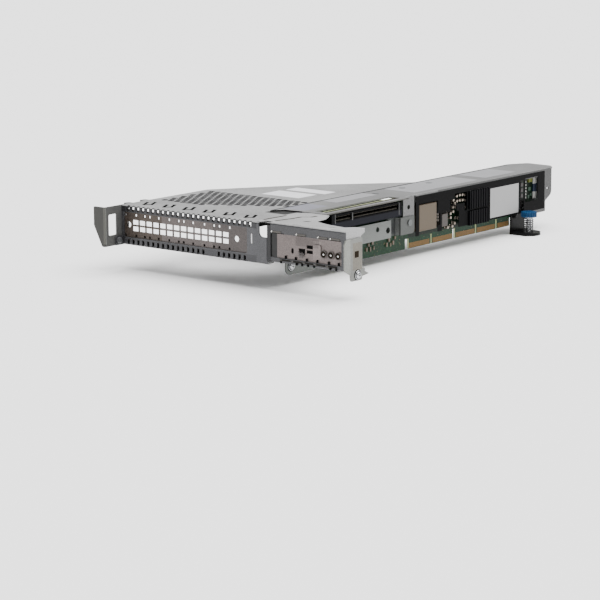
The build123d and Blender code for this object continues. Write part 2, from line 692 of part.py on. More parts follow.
# Spine: top channel over the board, with its slot, tab, lip and far cheek
with BuildPart() as spine:
    with BuildSketch(level(cage_height)):
        with BuildLine():
            FilletPolyline(
                (spine_left + spine_horn_width, spine_front - spine_step / 2),
                (spine_left + spine_horn_width * 3, spine_front), (strip_right, spine_front),
                (strip_right, strip_end), (spine_right, strip_end),
                (spine_right, spine_rear - spine_right_cut[1]),
                (spine_right - spine_right_cut[0], spine_rear - spine_rear_skew),
                (spine_left + spine_left_cut[0], spine_rear),
                (spine_left, spine_rear - spine_left_cut[1]), (spine_left, spine_front - spine_horn),
                radius=[1, 1, 1, 2, 1, 2, 4, 4, 3, 0.5], close=True,
            )
        make_face()
        span(board_face - board_slot_reach, spine_right, frame_depth + board_slot_front, board_slot_rear,
             mode=Mode.SUBTRACT)
        with Locations(*[(spine_rivet_x, y) for y in spine_rivets_y]):
            Circle(rivet_radius, mode=Mode.SUBTRACT)
    extrude(amount=sheet)
    with BuildSketch(upright(spine_right - sheet)):
        span(strip_end, tab_rear, tab_foot, frame_top)
        fillet(vertices().group_by(Axis.Z)[0], 2)
        with Locations((rail_rivet_y, tab_hole_z)):
            Circle(tab_hole_radius, mode=Mode.SUBTRACT)
        with Locations((rail_rivet_y, rail_rivet_z)):
            Circle(rivet_radius, mode=Mode.SUBTRACT)
        with BuildLine():
            FilletPolyline(
                (lip_front, frame_top), (lip_front, lip_foot), (cheek_front, lip_foot),
                (cheek_front, cheek_toe_top), (cheek_toe_front, cheek_toe_top),
                (cheek_toe_front, cheek_toe_foot), (cheek_toe_rear, cheek_toe_foot),
                (cheek_toe_rear, cheek_foot - 5), (cheek_rear, cheek_foot), (cheek_rear, frame_top),
                radius=[0, 0, 1, 1, 0, 1, 1, 1, 5, 0], close=True,
            )
        make_face()
        with Locations((cheek_hole_y, cheek_hole_z)):
            Circle(1.2, mode=Mode.SUBTRACT)
    extrude(amount=sheet)
    with BuildSketch(upright(spine_left)):
        span(tail_y + seat_gap, spine_rear - spine_left_cut[1] - 2,
             cage_height - 4, cage_height + sheet / 2)
    extrude(amount=sheet)
spine.part.label = "spine"

with BuildPart() as spine_rivets:
    for z0, depth, radius in (
        (plate_foot - rivet_head, rivet_head, rivet_head_radius),
        (plate_foot, 2 * sheet, rivet_radius - shank_clearance),
        (frame_top, rivet_head / 2, rivet_head_radius),
    ):
        with BuildSketch(level(z0)):
            with Locations(*[(spine_rivet_x, y) for y in spine_rivets_y]):
                Circle(radius)
        extrude(amount=depth)
spine_rivets.part.label = "spine_rivets"

# Card rail: bright strip that joggles in to sit on the board
rail_back = spine_right
with BuildPart() as card_rail:
    with BuildSketch(level(rail_foot)):
        with BuildLine():
            Polyline(
                (rail_back, rail_front), (rail_back, rail_joggle_front),
                (board_face, rail_joggle_front + sheet), (board_face, rail_joggle_rear),
                (rail_back, rail_joggle_rear + sheet), (rail_back, rail_rear),
                (rail_back + sheet, rail_rear), (rail_back + sheet, rail_joggle_rear),
                (board_face + sheet, rail_joggle_rear - sheet),
                (board_face + sheet, rail_joggle_front + 2 * sheet),
                (rail_back + sheet, rail_joggle_front + sheet), (rail_back + sheet, rail_front),
                close=True,
            )
        make_face()
    extrude(amount=rail_top - rail_foot)
    fillet(card_rail.edges().filter_by(Axis.X).group_by(Axis.Y)[-1].group_by(Axis.Z)[0], 3)
    with BuildSketch(upright(rail_back)):
        for hole_y, hole_z, hole_radius in rail_holes:
            with Locations((hole_y, hole_z)):
                Circle(hole_radius)
        with Locations((rail_rivet_y, rail_rivet_z)):
            Circle(rivet_radius)
    extrude(amount=sheet, mode=Mode.SUBTRACT)
    with BuildSketch(upright(board_face)):
        with Locations((recess_rivet_y, recess_rivet_z)):
            Circle(rivet_radius)
    extrude(amount=sheet, mode=Mode.SUBTRACT)
card_rail.part.label = "card_rail"

# Rivets of the rail: one through the spine's tab, one through the board
with BuildPart() as rail_rivets:
    for x0, depth, radius, spot in (
        (spine_right - sheet - rivet_head, rivet_head, rivet_head_radius, (rail_rivet_y, rail_rivet_z)),
        (spine_right - sheet, 2 * sheet, rivet_radius - shank_clearance, (rail_rivet_y, rail_rivet_z)),
        (spine_right + sheet, rivet_head, rivet_head_radius, (rail_rivet_y, rail_rivet_z)),
        (board_back - rivet_head, rivet_head, rivet_head_radius, (recess_rivet_y, recess_rivet_z)),
        (board_back, board_thickness + sheet, rivet_radius - shank_clearance,
         (recess_rivet_y, recess_rivet_z)),
        (board_face + sheet, rivet_head, rivet_head_radius, (recess_rivet_y, recess_rivet_z)),
    ):
        with BuildSketch(upright(x0)):
            with Locations(spot):
                Circle(radius)
        extrude(amount=depth)
rail_rivets.part.label = "rail_rivets"

# Insulating film on the spine's lip, with a window for each tall part
with BuildPart() as insulator:
    with BuildSketch(upright(spine_right)):
        span(lip_front, film_rear, film_foot, film_top)
        for y0, y1, z0, z1 in (chip, small_chip):
            span(y0 - window_margin, y1 + window_margin, film_foot, z1 + window_margin, mode=Mode.SUBTRACT)
        for z0, z1 in cable_socket_rows:
            span(cable_socket[0] - window_margin / 2, cable_socket[1] + window_margin / 2,
                 max(film_foot, z0 - window_margin / 2), z1 + window_margin / 2, mode=Mode.SUBTRACT)
        for window in (*capacitor_windows, strip_window, far_window):
            span(*window, mode=Mode.SUBTRACT)
    extrude(amount=film)
insulator.part.label = "insulator"

# Chips on the board
with BuildPart() as main_chip:
    with BuildSketch(upright(board_face)):
        span(*chip)
    extrude(amount=part_gap)
    chamfer(main_chip.faces().sort_by(Axis.X)[-1].edges(), 0.6)
main_chip.part.label = "main_chip"

with BuildPart() as small_ic:
    with BuildSketch(upright(board_face)):
        span(*small_chip)
    extrude(amount=part_gap)
    chamfer(small_ic.faces().sort_by(Axis.X)[-1].edges(), 0.5)
small_ic.part.label = "small_ic"

# Ribbed cable sockets
with BuildPart() as cable_connectors:
    with BuildSketch(upright(board_face)):
        for z0, z1 in cable_socket_rows:
            span(cable_socket[0], cable_socket[1], z0, z1)
    extrude(amount=cable_socket_reach)
    with BuildSketch(upright(board_face + cable_socket_reach)):
        for z0, z1 in cable_socket_rows:
            with Locations(((cable_socket[0] + cable_socket[1]) / 2, (z0 + z1) / 2)):
                with GridLocations(rib_pitch, 1, int((cable_socket[1] - cable_socket[0]) / rib_pitch), 1):
                    Rectangle(rib_width, z1 - z0)
    extrude(amount=-rib_depth, mode=Mode.SUBTRACT)
cable_connectors.part.label = "cable_connectors"

# Round capacitors in the middle windows
with BuildPart() as capacitors:
    with BuildSketch(upright(board_face)):
        with Locations(*capacitor_spots):
            RegularPolygon(capacitor_radius, 12)
    extrude(amount=capacitor_rise)
capacitors.part.label = "capacitors"

# Small flat parts on the board
with BuildPart() as board_components:
    for rise in sorted({spot[4] for spot in front_parts + film_parts}):
        with BuildSketch(upright(board_face)):
            for y, z, length, height, part_rise in front_parts + film_parts:
                if part_rise == rise:
                    span(y, y + length, z, z + height)
        extrude(amount=rise)
board_components.part.label = "board_components"

# Row of switches behind the far window
with BuildPart() as switch_block:
    with BuildSketch(upright(board_face)):
        span(*switch_box)
    extrude(amount=switch_rise)
    chamfer(switch_block.faces().sort_by(Axis.X)[-1].edges(), 0.4)
switch_block.part.label = "switch_block"

# Black bracket of the captive screw
tongue_top = bracket_foot + tongue_thickness
with BuildPart() as screw_bracket:
    with BuildSketch(upright(board_face)):
        span(bracket_front, bracket_rear, bracket_foot, bracket_top)
        fillet(vertices().group_by(Axis.Z)[-1], 1.5)
        with Locations(*bracket_screw_spots):
            Circle(screw_radius + shank_clearance, mode=Mode.SUBTRACT)
    extrude(amount=bracket_wall)
    with BuildSketch(level(bracket_foot)):
        with BuildLine():
            FilletPolyline(
                (board_face, bracket_front), (thumb_x + tongue_radius, bracket_front),
                (thumb_x + tongue_radius, bracket_rear), (board_face, bracket_rear),
                radius=[0, tongue_radius - 0.2, tongue_radius - 0.2, 0], close=True,
            )
        make_face()
        with Locations((thumb_x, thumb_y)):
            Circle(thumb_shank + running_gap, mode=Mode.SUBTRACT)
    extrude(amount=tongue_thickness)
    with BuildSketch(level(bracket_foot)):
        with Locations((thumb_x, thumb_y)):
            Circle(ring_pocket_radius)
    extrude(amount=ring_pocket_depth, mode=Mode.SUBTRACT)
screw_bracket.part.label = "screw_bracket"

with BuildPart() as bracket_screws:
    for spot_y, spot_z in bracket_screw_spots:
        with BuildSketch(screw_plane(board_face + bracket_wall, spot_y, spot_z)):
            with BuildLine():
                Polyline(*screw_profile(bracket_wall + board_thickness), close=True)
            make_face()
        revolve(axis=Axis((left, rear + spot_y, base + spot_z), (1, 0, 0)))
bracket_screws.part.label = "bracket_screws"

# Captive screw, with the neck that its retaining ring snaps into
thumb_axis = Axis((left + thumb_x, rear + thumb_y, 0), (0, 0, 1))
thumb_plane = Plane(origin=(left + thumb_x, rear + thumb_y, base), x_dir=(1, 0, 0), z_dir=(0, -1, 0))
pocket_top = bracket_foot + ring_pocket_depth
ring_foot = pocket_top - ring_play - ring_thickness
screw_end = bracket_foot + thumb_tip
knob_bore_top = knob_foot + knob_socket
with BuildPart() as captive_screw:
    with BuildSketch(thumb_plane):
        with BuildLine():
            Polyline(
                (0, screw_end), (thumb_neck, screw_end), (thumb_neck, pocket_top - ring_play),
                (thumb_shank, pocket_top - ring_play), (thumb_shank, knob_bore_top),
                (0, knob_bore_top), close=True,
            )
        make_face()
    revolve(axis=thumb_axis)
captive_screw.part.label = "captive_screw"

with BuildPart() as retaining_ring:
    with BuildSketch(level(ring_foot)):
        with Locations((thumb_x, thumb_y)):
            Circle(ring_radius)
            Circle(thumb_neck + shank_clearance / 2, mode=Mode.SUBTRACT)
    extrude(amount=ring_thickness)
retaining_ring.part.label = "retaining_ring"

# Knob with a gripped rim and a driver slot
with BuildPart() as thumb_knob:
    with BuildSketch(level(knob_foot)):
        with Locations((thumb_x, thumb_y)):
            Circle(knob_radius)
            with PolarLocations(knob_radius, knob_grips):
                Circle(knob_grip_radius, mode=Mode.SUBTRACT)
    extrude(amount=knob_top - knob_foot)
    with BuildSketch(level(knob_foot)):
        with Locations((thumb_x, thumb_y)):
            Circle(thumb_shank + shank_clearance / 2)
    extrude(amount=knob_socket, mode=Mode.SUBTRACT)
    with BuildSketch(level(knob_top)):
        with Locations((thumb_x, thumb_y)):
            Rectangle(knob_radius, knob_slot)
    extrude(amount=-knob_slot_depth, mode=Mode.SUBTRACT)
thumb_knob.part.label = "thumb_knob"

# Washer and spring under the knob
washer_top = knob_foot - washer_gap
washer_foot = washer_top - washer_thickness
with BuildPart() as spring_washer:
    with BuildSketch(level(washer_foot)):
        with Locations((thumb_x, thumb_y)):
            Circle(washer_radius)
            Circle(thumb_shank + running_gap, mode=Mode.SUBTRACT)
    extrude(amount=washer_thickness)
spring_washer.part.label = "spring_washer"

spring_height = washer_foot - tongue_top - 2 * spring_wire
with BuildPart() as screw_spring:
    with BuildLine(Plane((left + thumb_x, rear + thumb_y, base + tongue_top + spring_wire))) as coil:
        Helix(pitch=spring_height / spring_turns, height=spring_height, radius=spring_coil)
    with BuildSketch(Plane(origin=coil.line @ 0, z_dir=coil.line % 0)):
        RegularPolygon(spring_wire, 6)
    sweep(path=coil.line, is_frenet=True)
screw_spring.part.label = "screw_spring"

# Bare labels
with BuildPart() as top_labels:
    with BuildSketch(level(cage_height)):
        span(*large_label)
        span(*small_label)
    extrude(amount=label)
top_labels.part.label = "top_labels"

with BuildPart() as spine_label:
    with BuildSketch(level(frame_top)):
        for x0, x1, y0, y1 in spine_labels:
            span(spine_left + x0, spine_left + x1, y0, y1)
        with Locations(*[(spine_rivet_x, y) for y in spine_rivets_y]):
            Circle(rivet_head_radius + seat_gap, mode=Mode.SUBTRACT)
    extrude(amount=label)
spine_label.part.label = "spine_label"

with BuildPart() as data_label:
    with BuildSketch(upright(spine_right + film)):
        span(*board_label)
    extrude(amount=label)
data_label.part.label = "data_label"

for piece in (
    cage_frame, pull_handle, handle_rivets, full_height_blank, low_profile_frame, contact_fingers,
    low_profile_blank, end_bracket, end_bracket_screw, riser_board, edge_contacts, board_tab,
    board_tab_screws, spine, spine_rivets, card_rail, rail_rivets, insulator, main_chip,
    small_ic, cable_connectors, capacitors, board_components, switch_block, screw_bracket,
    bracket_screws, captive_screw, retaining_ring, thumb_knob, spring_washer, screw_spring,
    top_labels, spine_label, data_label,
):
    export_step(piece.part, f"parts/{piece.part.label}.step")
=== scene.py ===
import json
import logging
import math
from dataclasses import dataclass
from enum import Enum
from typing import Iterable

import bmesh
import bpy
from mathutils import Matrix, Vector


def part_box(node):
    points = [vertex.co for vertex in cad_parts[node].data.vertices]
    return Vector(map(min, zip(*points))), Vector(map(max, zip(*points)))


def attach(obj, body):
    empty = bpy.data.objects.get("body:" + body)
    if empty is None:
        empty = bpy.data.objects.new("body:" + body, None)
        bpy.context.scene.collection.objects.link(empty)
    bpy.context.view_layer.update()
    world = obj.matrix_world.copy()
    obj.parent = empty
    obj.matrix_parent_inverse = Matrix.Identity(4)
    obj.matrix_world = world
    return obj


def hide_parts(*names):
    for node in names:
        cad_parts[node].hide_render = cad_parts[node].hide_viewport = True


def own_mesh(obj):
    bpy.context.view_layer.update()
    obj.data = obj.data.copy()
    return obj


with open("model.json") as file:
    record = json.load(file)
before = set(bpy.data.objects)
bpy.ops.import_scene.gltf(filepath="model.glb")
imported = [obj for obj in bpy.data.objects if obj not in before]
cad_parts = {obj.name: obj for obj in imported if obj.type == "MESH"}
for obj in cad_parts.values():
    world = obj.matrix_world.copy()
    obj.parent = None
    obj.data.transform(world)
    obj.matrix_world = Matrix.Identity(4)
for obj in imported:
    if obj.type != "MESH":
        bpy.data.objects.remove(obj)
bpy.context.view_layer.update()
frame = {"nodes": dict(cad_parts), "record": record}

log = logging.getLogger("riser")
MM = 0.001
Colour = tuple[float, float, float]
Place = tuple[float, float, float]

# Sizes of the construction, in millimetres from the left foot of the rear face
BOARD_FACE = 143.2
BOARD_BACK = 141.6
FRAME_TOP = 31.0
PLATE_TOP = 30.0
ORIGIN = Vector((
    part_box("riser_board")[1].x - BOARD_FACE * MM,
    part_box("low_profile_frame")[0].y,
    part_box("cage_frame")[0].z,
))

# How a shadow line lies on a sheet, in millimetres
SHADOW_PROUD = 0.04
SHADOW_THICK = 0.03

# How every mesh is finished: points this close are one, and edges this sharp stay sharp
MERGE_WITHIN = 0.001
SHARP_DEGREES = 38


def spot(x: float, y: float, z: float) -> Vector:
    """The place, in metres, of a point given in millimetres from the left foot of the rear face."""
    return ORIGIN + Vector((x, y, z)) * MM


class Blend(Enum):
    """How one colour acts on another."""

    COVER = "MIX"
    TINT = "MULTIPLY"


def grey(level: float) -> Colour:
    """A neutral colour."""
    return (level, level, level)


def shade(colour: Colour, factor: float) -> Colour:
    """A darker or lighter version of a colour."""
    return tuple(min(1.0, channel * factor) for channel in colour)


class Expr:
    """A number that varies over a surface: a shader socket with arithmetic."""

    def __init__(self, graph: "Graph", socket: bpy.types.NodeSocket) -> None:
        """Wraps a socket.

        Args:
            graph: the graph that the socket's node belongs to.
            socket: an output socket that gives a number.
        """
        self.graph = graph
        self.socket = socket

    def _maths(self, operation: str, first: "Expr | float", second: "Expr | float") -> "Expr":
        """One Math node on two values."""
        node = self.graph.node("ShaderNodeMath", {"operation": operation}, {0: first, 1: second})
        return Expr(self.graph, node.outputs[0])

    def __add__(self, other: "Expr | float") -> "Expr":
        """Sum."""
        return self._maths("ADD", self, other)

    __radd__ = __add__

    def __mul__(self, other: "Expr | float") -> "Expr":
        """Product."""
        return self._maths("MULTIPLY", self, other)

    __rmul__ = __mul__

    def __sub__(self, other: "Expr | float") -> "Expr":
        """Difference."""
        return self._maths("SUBTRACT", self, other)

    def __rsub__(self, other: "Expr | float") -> "Expr":
        """Difference, from a plain number."""
        return self._maths("SUBTRACT", other, self)

    def above(self, limit: float) -> "Expr":
        """1 where the value is over the limit, and 0 elsewhere."""
        return self._maths("GREATER_THAN", self, limit)

    def below(self, limit: float) -> "Expr":
        """1 where the value is under the limit, and 0 elsewhere."""
        return self._maths("LESS_THAN", self, limit)


class Graph:
    """A material's node tree, with its Principled shader."""

    def __init__(self, name: str) -> None:
        """Makes a material that holds one Principled shader.

        Args:
            name: the material's name.
        """
        self.material = bpy.data.materials.new(name)
        self.material.use_nodes = True
        self.nodes = self.material.node_tree.nodes
        self.links = self.material.node_tree.links
        self.shader = next(n for n in self.nodes if n.type == "BSDF_PRINCIPLED")
        self.place = self.node("ShaderNodeTexCoord", {}, {}).outputs["Object"]

    def node(self, kind: str, settings: dict, values: dict) -> bpy.types.Node:
        """Adds a node.

        Args:
            kind: the node's type.
            settings: its properties, and "stops" for a ramp.
            values: its inputs by name or number, as values, sockets or expressions.

        Returns:
            The new node.
        """
        node = self.nodes.new(kind)
        stops = settings.get("stops")
        for key, value in settings.items():
            if key != "stops":
                setattr(node, key, value)
        if stops:
            elements = node.color_ramp.elements
            while len(elements) < len(stops):
                elements.new(0.5)
            for element, (position, colour) in zip(elements, stops):
                element.position = position
                element.color = (*colour, 1)
        for key, value in values.items():
            self.feed(node.inputs[key], value)
        return node

    def feed(self, socket: bpy.types.NodeSocket, value: object) -> None:
        """Sets or links one input socket.

        Args:
            socket: the input.
            value: a plain value, a colour, a socket or an expression.
        """
        if isinstance(value, Expr):
            self.links.new(value.socket, socket)
        elif isinstance(value, bpy.types.NodeSocket):
            self.links.new(value, socket)
        elif isinstance(value, tuple) and len(value) == 3 and socket.type == "RGBA":
            socket.default_value = (*value, 1)
        else:
            socket.default_value = value

    def set(self, **inputs: object) -> None:
        """Feeds the shader's own sockets; an underscore stands for a space."""
        for key, value in inputs.items():
            self.feed(self.shader.inputs[key.replace("_", " ")], value)

    def noise(self, scale: float, detail: float = 2) -> Expr:
        """Soft noise from 0 to 1.

        Args:
            scale: features in each metre.
            detail: octaves.

        Returns:
            The noise.
        """
        texture = self.node("ShaderNodeTexNoise", {}, {
            "Vector": self.place, "Scale": scale, "Detail": detail, "Roughness": 0.6,
        })
        return Expr(self, texture.outputs[0])

    def cells(self, scale: float, randomness: float = 1.0) -> Expr:
        """The distance to the nearest centre of a field of cells.

        Args:
            scale: cells in each metre.
            randomness: 0 for an even grid and 1 for scattered centres.

        Returns:
            The distance.
        """
        texture = self.node("ShaderNodeTexVoronoi", {}, {
            "Vector": self.place, "Scale": scale, "Randomness": randomness,
        })
        return Expr(self, texture.outputs["Distance"])

    def axis(self, letter: str) -> Expr:
        """The place along one axis, in metres."""
        split = self.node("ShaderNodeSeparateXYZ", {}, {0: self.place})
        return Expr(self, split.outputs[letter])

    def ramp(self, value: Expr, stops: list[tuple[float, Colour]]) -> bpy.types.NodeSocket:
        """A colour for each value."""
        return self.node("ShaderNodeValToRGB", {"stops": stops}, {0: value}).outputs[0]

    def mix(self, mask: Expr, first: object, second: object,
            blend: Blend = Blend.COVER) -> bpy.types.NodeSocket:
        """Mixes two colours by a mask.

        Args:
            mask: 0 for the first colour and 1 for the second.
            first: a colour, or a socket that gives one.
            second: a colour, or a socket that gives one.
            blend: how the second colour acts on the first.

        Returns:
            The socket that gives the mixed colour.
        """
        node = self.node("ShaderNodeMix", {"data_type": "RGBA", "blend_type": blend.value}, {})
        self.feed(node.inputs[0], mask)
        self.feed(node.inputs[6], first)
        self.feed(node.inputs[7], second)
        return node.outputs[2]

    def bump(self, height: Expr, depth: float) -> None:
        """Raises the surface by a height pattern.

        Args:
            height: the pattern, from 0 to 1.
            depth: how far it rises, in metres.
        """
        node = self.node("ShaderNodeBump", {}, {"Height": height, "Distance": depth, "Strength": 1.0})
        self.feed(self.shader.inputs["Normal"], node.outputs[0])


@dataclass(frozen=True)
class Zone:
    """A box, in millimetres from the left foot of the rear face, that lays a tone on a finish."""

    tone: Colour
    x: tuple[float, float] | None = None
    y: tuple[float, float] | None = None
    z: tuple[float, float] | None = None
    blend: Blend = Blend.TINT

    def paint(self, graph: Graph, colour: object) -> object:
        """Lays the tone on a colour inside the box.

        Args:
            graph: the material's graph.
            colour: the socket of the colour so far.

        Returns:
            The socket of the new colour.
        """
        mask = None
        for letter, offset, band in zip("XYZ", ORIGIN, (self.x, self.y, self.z)):
            if band:
                place = graph.axis(letter)
                inside = place.above(offset + band[0] * MM) * place.below(offset + band[1] * MM)
                mask = inside if mask is None else mask * inside
        return graph.mix(mask, colour, self.tone, self.blend)


@dataclass(frozen=True)
class SheetFinish:
    """Plated or painted sheet metal with a fine grain."""

    name: str
    colour: Colour
    metallic: float = 0.9
    roughness: float = 0.42
    contrast: float = 0.10
    specular: float = 0.5
    fine_scale: float = 1500
    broad_scale: float = 28
    fine_share: float = 0.7
    blend_band: tuple[float, float] = (0.36, 0.64)
    gloss_swing: float = 0.22
    depth: float = 0.00002
    zones: tuple[Zone, ...] = ()

    def build(self) -> bpy.types.Material:
        """Makes the material.

        Returns:
            The material.
        """
        graph = Graph(self.name)
        fine = graph.noise(self.fine_scale, 3)
        broad = graph.noise(self.broad_scale, 3)
        pattern = fine * self.fine_share + broad * (1 - self.fine_share)
        tones = shade(self.colour, 1 - self.contrast), shade(self.colour, 1 + self.contrast)
        colour = graph.ramp(pattern, list(zip(self.blend_band, tones)))
        for zone in self.zones:
            colour = zone.paint(graph, colour)
        graph.set(
            Base_Color=colour, Metallic=self.metallic, Specular_IOR_Level=self.specular,
            Roughness=pattern * self.gloss_swing + (self.roughness - self.gloss_swing / 2),
        )
        graph.bump(fine, self.depth)
        return graph.material


@dataclass(frozen=True)
class PlasticFinish:
    """Moulded plastic, film, ceramic or paper."""

    name: str
    colour: Colour
    roughness: float = 0.45
    contrast: float = 0.12
    fine_scale: float = 900
    broad_scale: float = 45
    blend_band: tuple[float, float] = (0.30, 0.70)
    fine_swing: float = 0.15
    broad_swing: float = 0.12
    mean_swing: float = 0.13
    depth: float = 0.00002
    specular: float = 0.5
    zones: tuple[Zone, ...] = ()

    def build(self) -> bpy.types.Material:
        """Makes the material.

        Returns:
            The material.
        """
        graph = Graph(self.name)
        fine = graph.noise(self.fine_scale, 3)
        broad = graph.noise(self.broad_scale, 2)
        tones = shade(self.colour, 1 - self.contrast), shade(self.colour, 1 + self.contrast)
        colour = graph.ramp(fine * 0.5 + broad * 0.5, list(zip(self.blend_band, tones)))
        swing = fine * self.fine_swing + broad * self.broad_swing
        for zone in self.zones:
            colour = zone.paint(graph, colour)
        graph.set(
            Base_Color=colour, Specular_IOR_Level=self.specular,
            Roughness=swing + (self.roughness - self.mean_swing),
        )
        graph.bump(fine, self.depth)
        return graph.material


@dataclass(frozen=True)
class BoardFinish:
    """Green solder mask over copper tracks, with bare pads, vias and a pale cut edge."""

    name: str
    mask: Colour
    copper: Colour
    edge: Colour
    specular: float = 0.15
    roughness: float = 0.33
    broad_scale: float = 60
    track_scale: float = 420
    track_scatter: float = 0.85
    track_share: float = 0.7
    via_scale: float = 330
    via_size: float = 0.13
    pad_scale: float = 900
    pad_level: float = 0.66
    gloss_swing: float = 0.15
    skin: float = 0.06
    depth: float = 0.00003
    zones: tuple[Zone, ...] = ()

    def build(self) -> bpy.types.Material:
        """Makes the material.

        Returns:
            The material.
        """
        graph = Graph(self.name)
        broad = graph.noise(self.broad_scale)
        tracks = graph.cells(self.track_scale, self.track_scatter)
        via = graph.cells(self.via_scale).below(self.via_size)
        pad = graph.noise(self.pad_scale).above(self.pad_level)
        pattern = tracks * self.track_share + broad * (1 - self.track_share)
        colour = graph.ramp(pattern, [
            (0.25, shade(self.mask, 1.35)), (0.55, shade(self.mask, 0.75)),
        ])
        colour = graph.mix(via, colour, self.copper)
        colour = graph.mix(pad * 0.5, colour, shade(self.copper, 0.7))
        for zone in self.zones:
            colour = zone.paint(graph, colour)
        across = graph.axis("X")
        past_back = across.above(ORIGIN.x + (BOARD_BACK + self.skin) * MM)
        cut = past_back * across.below(ORIGIN.x + (BOARD_FACE - self.skin) * MM)
        graph.set(
            Base_Color=graph.mix(cut, colour, self.edge), Specular_IOR_Level=self.specular,
            Roughness=broad * self.gloss_swing + self.roughness,
        )
        graph.bump(tracks, self.depth)
        return graph.material


